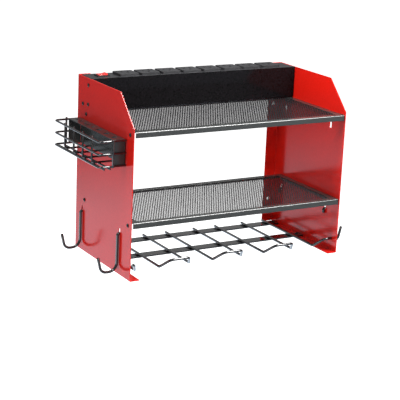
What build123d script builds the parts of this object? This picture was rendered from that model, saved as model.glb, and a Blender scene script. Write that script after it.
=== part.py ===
from build123d import *
import math
import os

os.makedirs("parts", exist_ok=True)

# Wall mounted tool organizer, in millimetres.
# X runs to the viewer's right, -Y to the front, +Z up. The wall is the plane Y = 0.
# The origin is the centre of the four wall holes, on the wall.

# Main frame.
inner_width = 425.0
panel_depth = 220.0
panel_height = 318.0
corner_cut = 53.0
sheet = 1.5
bottom_flange = 18.0
back_flange = 23.0
bend_radius = 2.0
side_gap = 0.3

# Holes in the back flanges for the wall screws.
wall_hole_low = 48.0
wall_hole_drop = 80.0
wall_hole_radius = 3.25
wall_hole_inset = 11.5

# Slots that hooks and the side basket hang in.
slot_width = 6.0
slot_length = 13.0
front_slot_in = 43.0
rear_slot_wall_gap = 28.0
upper_slot_drop = 26.5
lower_slot_drop = 25.5
hang_gap = 0.4

# Shelves.
strip_shelf_gap = 3.5
middle_shelf_height = 103.0
shelf_wall_gap = 25.0
shelf_sheet = 1.2
shelf_front_lip = 10.0
shelf_side_lip = 12.0
shelf_back_lip = 8.0
hole_pitch = 34.0
hole_web = 9.0
hole_border = 14.0

# Holes for the screws.
screw_hole_radius = 2.25
shelf_screw_drop = 6.4
shelf_screw_in = 12.0

# Power strip and what carries it.
strip_wall_gap = 6.0
strip_depth = 44.0
strip_end_gap = 2.2
housing_height = 37.0
housing_wall = 2.0
housing_corner = 3.0
cover_height = 3.0
cover_edge = 0.8
cover_skirt = 4.0
cover_skirt_wall = 1.5
fit_gap = 0.3
apron_sheet = 1.5
apron_gap = 0.5
apron_end_flange = 14.0
apron_foot = 12.0
apron_screw_in = 8.0
apron_screw_inset = 12.0
bracket_sheet = 1.5
bracket_leg = 15.0
bracket_reach = 26.0
bracket_width = 22.0
bracket_wall_gap = 12.0
bracket_screw_drop = 8.5
foot_hole_radius = 1.7
foot_screw_in = 17.0

# Outlets, in a row along the strip.
outlet_count = 8
outlet_start = 54.5
outlet_end = 26.2
outlet_spacing = 4.9
outlet_depth = 33.6
outlet_rise = 4.0
outlet_corner = 3.0
outlet_body_height = 12.0
outlet_shoulder = 1.1
blade_spacing = 12.7
blade_width = 2.2
blade_length = 8.5
ground_radius = 2.6
ground_offset = 11.9
blade_line_offset = 5.0
socket_depth = 13.0
bus_count = 3
bus_width = 4.0
bus_thickness = 1.0
bus_pitch = 9.0

# Rocker switch.
switch_in = 29.3
switch_flange_length = 23.6
switch_flange_depth = 18.0
switch_flange_height = 2.0
switch_body_length = 21.6
switch_body_depth = 15.0
switch_body_height = 18.0
switch_opening_length = 19.2
switch_opening_depth = 12.0
switch_well = 12.0
rocker_radius = 9.2
rocker_depth = 11.4
rocker_pivot_drop = 2.0
rocker_corner_rise = 4.4
rocker_valley_rise = 3.4
rocker_bottom_drop = 4.6
rocker_tilt_degrees = 7.0
rocker_pin_radius = 1.2
rocker_pin_length = 1.3
rocker_pin_clearance = 0.1

# Cord gland, in the right panel.
gland_radius = 7.5
gland_collar_radius = 9.6
gland_collar = 2.4
gland_neck_radius = 6.2
gland_tip_radius = 5.0
gland_bore_radius = 3.6
gland_reach = 20.0
gland_stub = 5.0
gland_drop = 20.0

# Wire rack.
tool_count = 4
loop_width = 60.0
rack_end_width = 27.0
rack_wire_radius = 2.5
rack_setback = 36.0
rack_wall_gap = 8.0
lip_forward = 20.0
lip_rise = 17.0
lip_inset = 12.0
lip_foot_bend = 6.0
lip_top_bend = 9.0
bar_width = 20.0
bar_thickness = 2.5
front_bar_in = 106.0
rear_bar_wall_gap = 10.0
bar_screw_inset = 9.0
weld_gap = 0.05

# Side basket with its tool rack, on the left panel.
basket_reach = 50.0
basket_front_in = 25.0
basket_wall_gap = 15.0
basket_height = 43.0
basket_top_over_slot = 8.2
basket_wire_radius = 1.8
basket_corner = 7.0
hoop_count = 3
rib_count = 4
rib_bend = 6.0
rib_over_top = 3.0
tool_rack_sheet = 1.2
tool_rack_width = 24.0
wide_hole_count = 3
wide_hole_radius = 5.0
wide_zone_share = 0.53
small_hole_count = 5
small_hole_radius = 3.4
tool_hole_margin = 4.0
tab_width = 4.0
tab_neck = 3.6
tab_thickness = 1.6
tab_drop = 6.0
floor_wire_count = 2

# J hooks, two on each panel.
hook_wire_radius = 2.5
hook_stand_off = 0.7
hook_neck_bend = 3.0
hook_inner_leg = 8.5
hook_drop = 67.0
hook_width = 29.5
hook_heel_share = 0.52
hook_toe_share = 0.42
hook_tip_rise = 27.5
hook_tip_lean = 6.5

# Levels and faces worked out from the sizes above.
half_inner = inner_width / 2
half_outer = half_inner + sheet
wall_hole_high = panel_height - wall_hole_drop
top_shelf_height = panel_height - cover_height - housing_height - bracket_leg - strip_shelf_gap
upper_slot_height = top_shelf_height - upper_slot_drop
lower_slot_height = middle_shelf_height - lower_slot_drop
origin_height = (wall_hole_low + wall_hole_high) / 2
front = -panel_depth


def level(height):
    """Z of a height above the panels' bottom edge."""
    return height - origin_height


def block(low, high, mode=Mode.ADD):
    """Block from one corner to the opposite one, in the open part."""
    middle = [(a + b) / 2 for a, b in zip(low, high)]
    with Locations(tuple(middle)):
        Box(*[abs(b - a) for a, b in zip(low, high)], mode=mode)


def run_wire(points, radius, bends):
    """Round wire along straight runs joined by arcs, in the open part."""
    with BuildLine() as centre:
        FilletPolyline(*points, radius=bends)
    with BuildSketch(Plane(origin=centre.line @ 0, z_dir=centre.line % 0)) as section:
        Circle(radius)
    sweep(section.sketch, path=centre.line)


def run_straight(start, end, radius):
    """Round wire between two points, in the open part."""
    run = Vector(*end) - Vector(*start)
    with Locations(Plane(origin=start, z_dir=run)):
        Cylinder(radius, run.length, align=(Align.CENTER, Align.CENTER, Align.MIN))


def sideways(x, y, z, facing):
    """Plane at a point, facing along X."""
    return Plane(origin=(x, y, z), x_dir=(0, 1, 0), z_dir=(facing, 0, 0))


def drill(planes, radius, depth):
    """Round holes that start on the planes and run against the way they face."""
    with Locations(*planes):
        Cylinder(radius, depth, align=(Align.CENTER, Align.CENTER, Align.MAX), mode=Mode.SUBTRACT)


# Places shared by the pieces.
shelf_back = -shelf_wall_gap
shelf_half = half_inner - side_gap
shelf_heights = (top_shelf_height, middle_shelf_height)
shelf_screw_rows = (front + shelf_screw_in, shelf_back - shelf_screw_in)
slot_rows = (front + front_slot_in, -rear_slot_wall_gap)
slot_heights = (upper_slot_height, lower_slot_height)

strip_half = half_inner - strip_end_gap
strip_back = -strip_wall_gap
strip_front = strip_back - strip_depth
strip_middle = (strip_front + strip_back) / 2
strip_top = level(panel_height)
housing_top = strip_top - cover_height
housing_bottom = housing_top - housing_height

apron_front = strip_front - apron_gap - apron_sheet
apron_bottom = level(top_shelf_height) + fit_gap
apron_screw_row = apron_front + apron_screw_in
apron_screw_levels = (apron_bottom + apron_screw_inset, strip_top - apron_screw_inset)

bracket_row = -bracket_wall_gap - bracket_width / 2
bracket_screw_level = housing_bottom - bracket_screw_drop

gland_level = strip_top - gland_drop

slot_gap = (inner_width - 2 * rack_end_width - (tool_count - 1) * loop_width) / tool_count
loop_pitch = loop_width + slot_gap
rod_level = level(sheet + bar_thickness + weld_gap + rack_wire_radius)
bar_rows = (front + front_bar_in + bar_width / 2, -rear_bar_wall_gap - bar_width / 2)
bar_screw_places = (bar_screw_inset - half_inner, half_inner - bar_screw_inset)

shelf_screw_spots = [
    (y, level(height) - shelf_screw_drop) for height in shelf_heights for y in shelf_screw_rows
]
apron_screw_spots = [(apron_screw_row, z) for z in apron_screw_levels]
bracket_screw_spot = (bracket_row, bracket_screw_level)


def add_side_panel(side):
    """Bent side panel in the open part; side is -1 for left and 1 for right."""
    with BuildSketch(Plane.YZ.offset(side * half_inner)) as outline:
        with BuildLine():
            Polyline(
                (front, level(0)),
                (0, level(0)),
                (0, level(panel_height)),
                (front + corner_cut, level(panel_height)),
                (front, level(panel_height - corner_cut)),
                close=True,
            )
        make_face()
    extrude(outline.sketch, amount=side * sheet)
    block(
        (side * (half_inner - bottom_flange), front, level(0)),
        (side * half_outer, 0, level(sheet)),
    )
    block(
        (side * (half_inner - back_flange), -sheet, level(0)),
        (side * half_outer, 0, level(panel_height)),
    )


def bend_edges(piece, side):
    """The panel's two long outer bend edges, along its bottom and up its back."""
    outer = piece.faces().sort_by(Axis.X)[-1 if side > 0 else 0]
    return [outer.edges().sort_by(Axis.Z)[0], outer.edges().sort_by(Axis.Y)[-1]]


def cut_panel_holes(side):
    """Holes and slots that both side panels have."""
    spots = shelf_screw_spots + apron_screw_spots + [bracket_screw_spot]
    drill(
        [sideways(side * half_outer, y, z, side) for y, z in spots],
        screw_hole_radius,
        sheet,
    )
    with BuildSketch(sideways(side * half_outer, 0, 0, side)) as slots:
        with Locations(*[(y, side * level(z)) for y in slot_rows for z in slot_heights]):
            SlotOverall(slot_length, slot_width, rotation=90)
    extrude(slots.sketch, amount=-sheet, mode=Mode.SUBTRACT)
    wall_places = [level(wall_hole_low), level(wall_hole_high)]
    drill(
        [Plane((side * (half_inner - wall_hole_inset), 0, z), z_dir=(0, 1, 0)) for z in wall_places],
        wall_hole_radius,
        sheet,
    )
    drill(
        [Plane((side * bar_screw_places[1], y, level(0)), z_dir=(0, 0, -1)) for y in bar_rows],
        screw_hole_radius,
        sheet,
    )


# Side panels.
with BuildPart() as left_panel:
    add_side_panel(-1)
    fillet(bend_edges(left_panel, -1), bend_radius)
    cut_panel_holes(-1)
left_panel.part.label = "left_panel"
export_step(left_panel.part, "parts/left_panel.step")

with BuildPart() as right_panel:
    add_side_panel(1)
    fillet(bend_edges(right_panel, 1), bend_radius)
    cut_panel_holes(1)
    drill([sideways(half_outer, strip_middle, gland_level, 1)], gland_radius + hang_gap, sheet)
right_panel.part.label = "right_panel"
export_step(right_panel.part, "parts/right_panel.step")


def add_shelf(height):
    """Perforated shelf in the open part, its lips turned down, its top at the given height."""
    top = level(height)
    low = top - shelf_side_lip
    block((-shelf_half, front, low), (shelf_half, shelf_back, top))
    inner = shelf_half - shelf_sheet
    block(
        (-inner, front + shelf_sheet, low),
        (inner, shelf_back - shelf_sheet, top - shelf_sheet),
        mode=Mode.SUBTRACT,
    )
    block((-inner, front, low), (inner, front + shelf_sheet, top - shelf_front_lip), mode=Mode.SUBTRACT)
    block(
        (-inner, shelf_back - shelf_sheet, low),
        (inner, shelf_back, top - shelf_back_lip),
        mode=Mode.SUBTRACT,
    )
    drill(
        [
            sideways(side * shelf_half, y, top - shelf_screw_drop, side)
            for side in (-1, 1)
            for y in shelf_screw_rows
        ],
        screw_hole_radius,
        shelf_sheet,
    )
    column_pitch = hole_pitch * math.sqrt(3) / 2
    hole_width = hole_pitch - hole_web
    columns = int((2 * shelf_half - 2 * hole_border - hole_width) / column_pitch) + 1
    rows = int((shelf_back - front - 2 * hole_border - hole_width) / hole_pitch + 1 / 2)
    with BuildSketch(Plane.XY.offset(top)) as holes:
        with Locations((0, (front + shelf_back) / 2)):
            with HexLocations(hole_pitch / 2, columns, rows):
                RegularPolygon(hole_width / 2, 6, major_radius=False)
    extrude(holes.sketch, amount=-shelf_sheet, mode=Mode.SUBTRACT)


# Shelves.
with BuildPart() as top_shelf:
    add_shelf(top_shelf_height)
    fillet(top_shelf.faces().sort_by(Axis.Z)[-1].outer_wire().edges(), shelf_sheet)
top_shelf.part.label = "top_shelf"
export_step(top_shelf.part, "parts/top_shelf.step")

with BuildPart() as middle_shelf:
    add_shelf(middle_shelf_height)
    fillet(middle_shelf.faces().sort_by(Axis.Z)[-1].outer_wire().edges(), shelf_sheet)
middle_shelf.part.label = "middle_shelf"
export_step(middle_shelf.part, "parts/middle_shelf.step")

# Apron in front of the power strip.
with BuildPart() as strip_apron:
    block((-shelf_half, apron_front, apron_bottom), (shelf_half, apron_front + apron_end_flange, strip_top))
    block(
        (-shelf_half + apron_sheet, apron_front + apron_sheet, apron_bottom + apron_sheet),
        (shelf_half - apron_sheet, apron_front + apron_end_flange, strip_top),
        mode=Mode.SUBTRACT,
    )
    block(
        (-shelf_half + apron_sheet, apron_front + apron_foot, apron_bottom),
        (shelf_half - apron_sheet, apron_front + apron_end_flange, apron_bottom + apron_sheet),
        mode=Mode.SUBTRACT,
    )
    face = strip_apron.faces().sort_by(Axis.Y)[0]
    fillet(face.edges().sort_by(Axis.Z)[:-1], apron_sheet)
    drill(
        [sideways(side * shelf_half, y, z, side) for side in (-1, 1) for y, z in apron_screw_spots],
        screw_hole_radius,
        apron_sheet,
    )
strip_apron.part.label = "strip_apron"
export_step(strip_apron.part, "parts/strip_apron.step")


def add_bracket(side):
    """Angle bracket in the open part, screwed to a panel, with its foot under the strip."""
    back = -bracket_wall_gap
    block(
        (side * (shelf_half - bracket_sheet), back - bracket_width, housing_bottom - bracket_leg),
        (side * shelf_half, back, housing_bottom),
    )
    block(
        (side * (shelf_half - bracket_reach), back - bracket_width, housing_bottom - bracket_sheet),
        (side * shelf_half, back, housing_bottom),
    )
    drill(
        [sideways(side * shelf_half, *bracket_screw_spot, side)],
        screw_hole_radius,
        bracket_sheet,
    )
    drill(
        [Plane((side * (shelf_half - foot_screw_in), bracket_row, housing_bottom))],
        foot_hole_radius,
        bracket_sheet,
    )


# Brackets under the strip's ends.
with BuildPart() as strip_bracket_left:
    add_bracket(-1)
strip_bracket_left.part.label = "strip_bracket_left"
export_step(strip_bracket_left.part, "parts/strip_bracket_left.step")

with BuildPart() as strip_bracket_right:
    add_bracket(1)
strip_bracket_right.part.label = "strip_bracket_right"
export_step(strip_bracket_right.part, "parts/strip_bracket_right.step")

# Power strip housing, open at the top.
with BuildPart() as strip_housing:
    block((-strip_half, strip_front, housing_bottom), (strip_half, strip_back, housing_top))
    fillet(strip_housing.edges().filter_by(Axis.Z), housing_corner)
    block(
        (-strip_half + housing_wall, strip_front + housing_wall, housing_bottom + housing_wall),
        (strip_half - housing_wall, strip_back - housing_wall, housing_top),
        mode=Mode.SUBTRACT,
    )
    drill(
        [
            Plane((side * (shelf_half - foot_screw_in), bracket_row, housing_bottom + housing_wall))
            for side in (-1, 1)
        ],
        foot_hole_radius,
        housing_wall,
    )
    drill([sideways(strip_half, strip_middle, gland_level, 1)], gland_radius + hang_gap, housing_wall)
strip_housing.part.label = "strip_housing"
export_step(strip_housing.part, "parts/strip_housing.step")

outlet_row_length = 2 * strip_half - outlet_start - outlet_end
outlet_pitch = outlet_row_length / outlet_count
outlet_length = outlet_pitch - outlet_spacing
outlet_places = [-strip_half + outlet_start + outlet_pitch * (i + 1 / 2) for i in range(outlet_count)]
switch_place = -strip_half + switch_in

# Cover over the housing, with a skirt inside it and a window for each outlet and for the switch.
with BuildPart() as strip_cover:
    block((-strip_half, strip_front, housing_top), (strip_half, strip_back, strip_top))
    fillet(strip_cover.edges().filter_by(Axis.Z), housing_corner)
    chamfer(strip_cover.faces().sort_by(Axis.Z)[-1].edges(), cover_edge)
    skirt_in = housing_wall + fit_gap
    block(
        (-strip_half + skirt_in, strip_front + skirt_in, housing_top - cover_skirt),
        (strip_half - skirt_in, strip_back - skirt_in, housing_top),
    )
    skirt_in = skirt_in + cover_skirt_wall
    block(
        (-strip_half + skirt_in, strip_front + skirt_in, housing_top - cover_skirt),
        (strip_half - skirt_in, strip_back - skirt_in, housing_top),
        mode=Mode.SUBTRACT,
    )
    with BuildSketch(Plane.XY.offset(strip_top)):
        with Locations(*[(x, strip_middle) for x in outlet_places]):
            Rectangle(outlet_length + 2 * fit_gap, outlet_depth + 2 * fit_gap)
        with Locations((switch_place, strip_middle)):
            Rectangle(switch_body_length + 2 * fit_gap, switch_body_depth + 2 * fit_gap)
    extrude(amount=-cover_height, mode=Mode.SUBTRACT)
strip_cover.part.label = "strip_cover"
export_step(strip_cover.part, "parts/strip_cover.step")


def add_outlet(x):
    """Three pin outlet in the open part: a raised block on a wider body held under the cover."""
    body_top = housing_top - fit_gap
    with Locations((x, strip_middle, body_top)):
        Box(
            outlet_length + 2 * outlet_shoulder,
            outlet_depth + 2 * outlet_shoulder,
            outlet_body_height,
            align=(Align.CENTER, Align.CENTER, Align.MAX),
        )
    with BuildSketch(Plane.XY.offset(body_top)) as raised:
        with Locations((x, strip_middle)):
            RectangleRounded(outlet_length, outlet_depth, outlet_corner)
    extrude(raised.sketch, amount=strip_top + outlet_rise - body_top)
    with BuildSketch(Plane.XY.offset(strip_top + outlet_rise)) as sockets:
        with Locations(
            (x - blade_spacing / 2, strip_middle + blade_line_offset),
            (x + blade_spacing / 2, strip_middle + blade_line_offset),
        ):
            Rectangle(blade_width, blade_length)
        with Locations((x, strip_middle + blade_line_offset - ground_offset)):
            Circle(ground_radius)
    extrude(sockets.sketch, amount=-socket_depth, mode=Mode.SUBTRACT)


# Outlets.
for number, place in enumerate(outlet_places, start=1):
    with BuildPart() as outlet:
        add_outlet(place)
    outlet.part.label = f"outlet_{number}"
    export_step(outlet.part, f"parts/outlet_{number}.step")

# Bus bars under the outlets.
bus_top = housing_top - fit_gap - outlet_body_height
bus_half = (outlet_places[-1] - outlet_places[0] + outlet_length) / 2
bus_middle = (outlet_places[-1] + outlet_places[0]) / 2
for number in range(1, bus_count + 1):
    bus_row = strip_middle + bus_pitch * (number - (bus_count + 1) / 2)
    with BuildPart() as bus_bar:
        block(
            (bus_middle - bus_half, bus_row - bus_width / 2, bus_top - bus_thickness),
            (bus_middle + bus_half, bus_row + bus_width / 2, bus_top),
        )
    bus_bar.part.label = f"bus_bar_{number}"
    export_step(bus_bar.part, f"parts/bus_bar_{number}.step")

# Switch frame, dropped into the cover, with a well for the rocker.
frame_top = strip_top + switch_flange_height
pivot_level = frame_top - rocker_pivot_drop
with BuildPart() as switch_frame:
    with BuildSketch(Plane.XY.offset(strip_top)):
        with Locations((switch_place, strip_middle)):
            Rectangle(switch_flange_length, switch_flange_depth)
    extrude(amount=switch_flange_height)
    chamfer(switch_frame.faces().sort_by(Axis.Z)[-1].edges(), cover_edge)
    with BuildSketch(Plane.XY.offset(strip_top)):
        with Locations((switch_place, strip_middle)):
            Rectangle(switch_body_length, switch_body_depth)
    extrude(amount=switch_flange_height - switch_body_height)
    with BuildSketch(Plane.XY.offset(frame_top)):
        with Locations((switch_place, strip_middle)):
            Rectangle(switch_opening_length, switch_opening_depth)
    extrude(amount=-switch_well, mode=Mode.SUBTRACT)
    drill(
        [Plane((switch_place, strip_middle + switch_body_depth / 2, pivot_level), z_dir=(0, 1, 0))],
        rocker_pin_radius + rocker_pin_clearance,
        switch_body_depth,
    )
switch_frame.part.label = "switch_frame"
export_step(switch_frame.part, "parts/switch_frame.step")

# Rocker: its ends are arcs about the pivot, its top is a shallow V.
corner_out = math.sqrt(rocker_radius**2 - rocker_corner_rise**2)
bottom_out = math.sqrt(rocker_radius**2 - rocker_bottom_drop**2)
tilt = math.radians(rocker_tilt_degrees)
rocker_plane = Plane(
    origin=(switch_place, strip_middle, pivot_level),
    x_dir=(math.cos(tilt), 0, math.sin(tilt)),
    z_dir=(0, -1, 0),
)
with BuildPart() as rocker:
    with BuildSketch(rocker_plane):
        with BuildLine():
            Polyline(
                (-corner_out, rocker_corner_rise),
                (0, rocker_valley_rise),
                (corner_out, rocker_corner_rise),
            )
            ThreePointArc(
                (corner_out, rocker_corner_rise),
                (rocker_radius, 0),
                (bottom_out, -rocker_bottom_drop),
            )
            Line((bottom_out, -rocker_bottom_drop), (-bottom_out, -rocker_bottom_drop))
            ThreePointArc(
                (-bottom_out, -rocker_bottom_drop),
                (-rocker_radius, 0),
                (-corner_out, rocker_corner_rise),
            )
        make_face()
    extrude(amount=rocker_depth / 2, both=True)
    with BuildSketch(rocker_plane):
        Circle(rocker_pin_radius)
    extrude(amount=rocker_depth / 2 + rocker_pin_length, both=True)
rocker.part.label = "rocker"
export_step(rocker.part, "parts/rocker.step")

# Cord gland through the strip's end and the right panel.
stub_start = strip_half - housing_wall - gland_stub
collar_end = half_outer + gland_collar
gland_end = half_outer + gland_reach
with BuildPart() as cord_gland:
    with BuildSketch(Plane((0, strip_middle, gland_level), x_dir=(1, 0, 0), z_dir=(0, -1, 0))):
        with BuildLine():
            Polyline(
                (stub_start, gland_bore_radius),
                (stub_start, gland_radius),
                (half_outer, gland_radius),
                (half_outer, gland_collar_radius),
                (collar_end, gland_collar_radius),
                (collar_end, gland_neck_radius),
                (gland_end, gland_tip_radius),
                (gland_end, gland_bore_radius),
                close=True,
            )
        make_face()
    revolve(axis=Axis((0, strip_middle, gland_level), (1, 0, 0)))
cord_gland.part.label = "cord_gland"
export_step(cord_gland.part, "parts/cord_gland.step")


def add_bar(row):
    """Flat bar in the open part, lying on both bottom flanges."""
    block(
        (-shelf_half, row - bar_width / 2, level(sheet)),
        (shelf_half, row + bar_width / 2, level(sheet + bar_thickness)),
    )
    drill(
        [Plane((x, row, level(sheet + bar_thickness))) for x in bar_screw_places],
        screw_hole_radius,
        bar_thickness,
    )


# Bars that carry the wire rack.
with BuildPart() as rack_bar_front:
    add_bar(bar_rows[0])
rack_bar_front.part.label = "rack_bar_front"
export_step(rack_bar_front.part, "parts/rack_bar_front.step")

with BuildPart() as rack_bar_rear:
    add_bar(bar_rows[1])
rack_bar_rear.part.label = "rack_bar_rear"
export_step(rack_bar_rear.part, "parts/rack_bar_rear.step")


def add_loop(x):
    """One loop of the wire rack in the open part, with its front lip bent up."""
    half = loop_width / 2
    back = -rack_wall_gap
    foot = front + rack_setback
    tip = foot - lip_forward
    lip = rod_level + lip_rise
    run_wire(
        [
            (x - half, back, rod_level),
            (x - half, foot, rod_level),
            (x - half + lip_inset, tip, lip),
            (x + half - lip_inset, tip, lip),
            (x + half, foot, rod_level),
            (x + half, back, rod_level),
        ],
        rack_wire_radius,
        (lip_foot_bend, lip_top_bend, lip_top_bend, lip_foot_bend),
    )


def add_end_wire(side):
    """Half loop of the wire rack in the open part, its lip running on to the panel."""
    x = side * (half_inner - rack_end_width)
    foot = front + rack_setback
    tip = foot - lip_forward
    lip = rod_level + lip_rise
    run_wire(
        [
            (x, -rack_wall_gap, rod_level),
            (x, foot, rod_level),
            (x + side * lip_inset, tip, lip),
            (side * shelf_half, tip, lip),
        ],
        rack_wire_radius,
        (lip_foot_bend, lip_top_bend),
    )


# Loops of the wire rack.
with BuildPart() as rack_loop_left:
    add_loop(-loop_pitch)
rack_loop_left.part.label = "rack_loop_left"
export_step(rack_loop_left.part, "parts/rack_loop_left.step")

with BuildPart() as rack_loop_centre:
    add_loop(0)
rack_loop_centre.part.label = "rack_loop_centre"
export_step(rack_loop_centre.part, "parts/rack_loop_centre.step")

with BuildPart() as rack_loop_right:
    add_loop(loop_pitch)
rack_loop_right.part.label = "rack_loop_right"
export_step(rack_loop_right.part, "parts/rack_loop_right.step")

with BuildPart() as rack_end_left:
    add_end_wire(-1)
rack_end_left.part.label = "rack_end_left"
export_step(rack_end_left.part, "parts/rack_end_left.step")

with BuildPart() as rack_end_right:
    add_end_wire(1)
rack_end_right.part.label = "rack_end_right"
export_step(rack_end_right.part, "parts/rack_end_right.step")

# Places of the side basket; its X runs out to the left of the left panel.
basket_front = front + basket_front_in
basket_back = -basket_wall_gap
basket_top = level(upper_slot_height + basket_top_over_slot)
basket_floor = basket_top - basket_height
rack_in = -half_outer - hang_gap
rack_out = rack_in - tool_rack_width
hoop_out = -half_outer - basket_reach
wire_over = 2 * basket_wire_radius + weld_gap
plate_front = basket_front + basket_wire_radius + weld_gap
plate_back = basket_back - basket_wire_radius - weld_gap
plate_top = basket_top + basket_wire_radius
hole_row = (rack_in + rack_out - tool_rack_sheet) / 2
hole_zone = plate_back - plate_front - 2 * tool_hole_margin
wide_pitch = hole_zone * wide_zone_share / wide_hole_count
small_pitch = hole_zone * (1 - wide_zone_share) / small_hole_count
wide_start = plate_front + tool_hole_margin
small_start = wide_start + hole_zone * wide_zone_share

# Sheet tool rack, open to the left and below, with two tabs that hang in the panel's slots.
with BuildPart() as tool_rack:
    block((rack_out, plate_front, basket_floor), (rack_in, plate_back, plate_top))
    block(
        (rack_out, plate_front + tool_rack_sheet, basket_floor),
        (rack_in - tool_rack_sheet, plate_back - tool_rack_sheet, plate_top - tool_rack_sheet),
        mode=Mode.SUBTRACT,
    )
    fillet(tool_rack.faces().sort_by(Axis.Z)[-1].edges().sort_by(Axis.X)[1:], tool_rack_sheet)
    with BuildSketch(Plane.XY.offset(plate_top)):
        with Locations(
            *[(hole_row, wide_start + wide_pitch * (i + 1 / 2)) for i in range(wide_hole_count)]
        ):
            Circle(wide_hole_radius)
        with Locations(
            *[(hole_row, small_start + small_pitch * (i + 1 / 2)) for i in range(small_hole_count)]
        ):
            Circle(small_hole_radius)
    extrude(amount=-tool_rack_sheet, mode=Mode.SUBTRACT)
    seat = slot_width / 2 - math.sqrt((slot_width / 2) ** 2 - (tab_width / 2 + hang_gap) ** 2)
    neck_low = level(upper_slot_height) - slot_length / 2 + seat
    neck_in = -half_inner + hang_gap + tab_thickness
    for row in slot_rows:
        block(
            (rack_in, row - tab_width / 2, neck_low),
            (neck_in, row + tab_width / 2, neck_low + tab_neck),
        )
        block(
            (neck_in - tab_thickness, row - tab_width / 2, neck_low - tab_drop),
            (neck_in, row + tab_width / 2, neck_low + tab_neck),
        )
tool_rack.part.label = "tool_rack"
export_step(tool_rack.part, "parts/tool_rack.step")

# Hoops of the basket, from the lowest up.
for number in range(1, hoop_count + 1):
    hoop_level = basket_floor + basket_height * (number - 1) / (hoop_count - 1)
    with BuildPart() as basket_hoop:
        run_wire(
            [
                (rack_in, basket_front, hoop_level),
                (hoop_out, basket_front, hoop_level),
                (hoop_out, basket_back, hoop_level),
                (rack_in, basket_back, hoop_level),
            ],
            basket_wire_radius,
            basket_corner,
        )
    basket_hoop.part.label = f"basket_hoop_{number}"
    export_step(basket_hoop.part, f"parts/basket_hoop_{number}.step")

# Ribs down the basket's side and across its floor, from the front back.
rib_out = hoop_out + wire_over
rib_end = rack_in - tool_rack_sheet - weld_gap
rib_pitch = (basket_back - basket_front) / (rib_count + 1)
for number in range(1, rib_count + 1):
    rib_row = basket_front + rib_pitch * number
    with BuildPart() as basket_rib:
        run_wire(
            [
                (rib_out, rib_row, basket_top + rib_over_top),
                (rib_out, rib_row, basket_floor),
                (rib_end, rib_row, basket_floor),
            ],
            basket_wire_radius,
            rib_bend,
        )
    basket_rib.part.label = f"basket_rib_{number}"
    export_step(basket_rib.part, f"parts/basket_rib_{number}.step")

# Wires under the basket's floor, from the panel outwards.
floor_wire_level = basket_floor - wire_over
floor_wire_pitch = (rib_out - rack_out) / floor_wire_count
for number in range(1, floor_wire_count + 1):
    x = rack_out + floor_wire_pitch * (number - 1 / 2)
    with BuildPart() as floor_wire:
        run_straight(
            (x, basket_front - basket_wire_radius, floor_wire_level),
            (x, basket_back + basket_wire_radius, floor_wire_level),
            basket_wire_radius,
        )
    floor_wire.part.label = f"basket_floor_wire_{number}"
    export_step(floor_wire.part, f"parts/basket_floor_wire_{number}.step")


def add_hook(side, row):
    """J hook in the open part: in through a slot, down behind the panel, and a U outside it."""
    neck = level(lower_slot_height) - slot_length / 2 + hang_gap + hook_wire_radius
    inner = side * (half_inner - hang_gap - hook_wire_radius)
    shank = side * (half_outer + hook_stand_off + hook_wire_radius)
    bottom = neck - hook_drop
    toe = shank + side * hook_width
    run_wire(
        [
            (inner, row, neck - hook_inner_leg),
            (inner, row, neck),
            (shank, row, neck),
            (shank, row, bottom),
            (toe, row, bottom),
            (toe + side * hook_tip_lean, row, bottom + hook_tip_rise),
        ],
        hook_wire_radius,
        (hook_neck_bend, hook_neck_bend, hook_width * hook_heel_share, hook_width * hook_toe_share),
    )


# Hooks.
with BuildPart() as hook_left_front:
    add_hook(-1, slot_rows[0])
hook_left_front.part.label = "hook_left_front"
export_step(hook_left_front.part, "parts/hook_left_front.step")

with BuildPart() as hook_left_rear:
    add_hook(-1, slot_rows[1])
hook_left_rear.part.label = "hook_left_rear"
export_step(hook_left_rear.part, "parts/hook_left_rear.step")

with BuildPart() as hook_right_front:
    add_hook(1, slot_rows[0])
hook_right_front.part.label = "hook_right_front"
export_step(hook_right_front.part, "parts/hook_right_front.step")

with BuildPart() as hook_right_rear:
    add_hook(1, slot_rows[1])
hook_right_rear.part.label = "hook_right_rear"
export_step(hook_right_rear.part, "parts/hook_right_rear.step")
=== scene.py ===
import math

import bmesh
import bpy
from mathutils import Matrix, Vector


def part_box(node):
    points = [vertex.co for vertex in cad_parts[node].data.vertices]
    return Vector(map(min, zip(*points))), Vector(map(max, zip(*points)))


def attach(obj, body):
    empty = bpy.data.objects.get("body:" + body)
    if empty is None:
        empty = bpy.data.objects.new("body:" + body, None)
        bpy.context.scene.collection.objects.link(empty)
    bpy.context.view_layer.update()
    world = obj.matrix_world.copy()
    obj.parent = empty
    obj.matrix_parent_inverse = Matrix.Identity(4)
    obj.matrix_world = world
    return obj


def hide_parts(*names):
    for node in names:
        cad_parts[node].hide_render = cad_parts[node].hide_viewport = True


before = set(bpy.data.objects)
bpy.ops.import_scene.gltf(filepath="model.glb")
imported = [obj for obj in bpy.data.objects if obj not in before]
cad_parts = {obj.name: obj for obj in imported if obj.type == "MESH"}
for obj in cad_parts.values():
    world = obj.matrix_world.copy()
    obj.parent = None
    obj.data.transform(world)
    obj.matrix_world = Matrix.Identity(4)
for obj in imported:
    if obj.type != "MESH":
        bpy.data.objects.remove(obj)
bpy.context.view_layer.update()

# Sizes below are in millimetres and are turned to metres where a mesh or curve is made.
MM = 0.001
QUARTER = math.pi / 2


def span(node):
    """Lowest and highest corner of a CAD node, in millimetres."""
    low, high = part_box(node)
    return Vector(low) / MM, Vector(high) / MM


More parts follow.
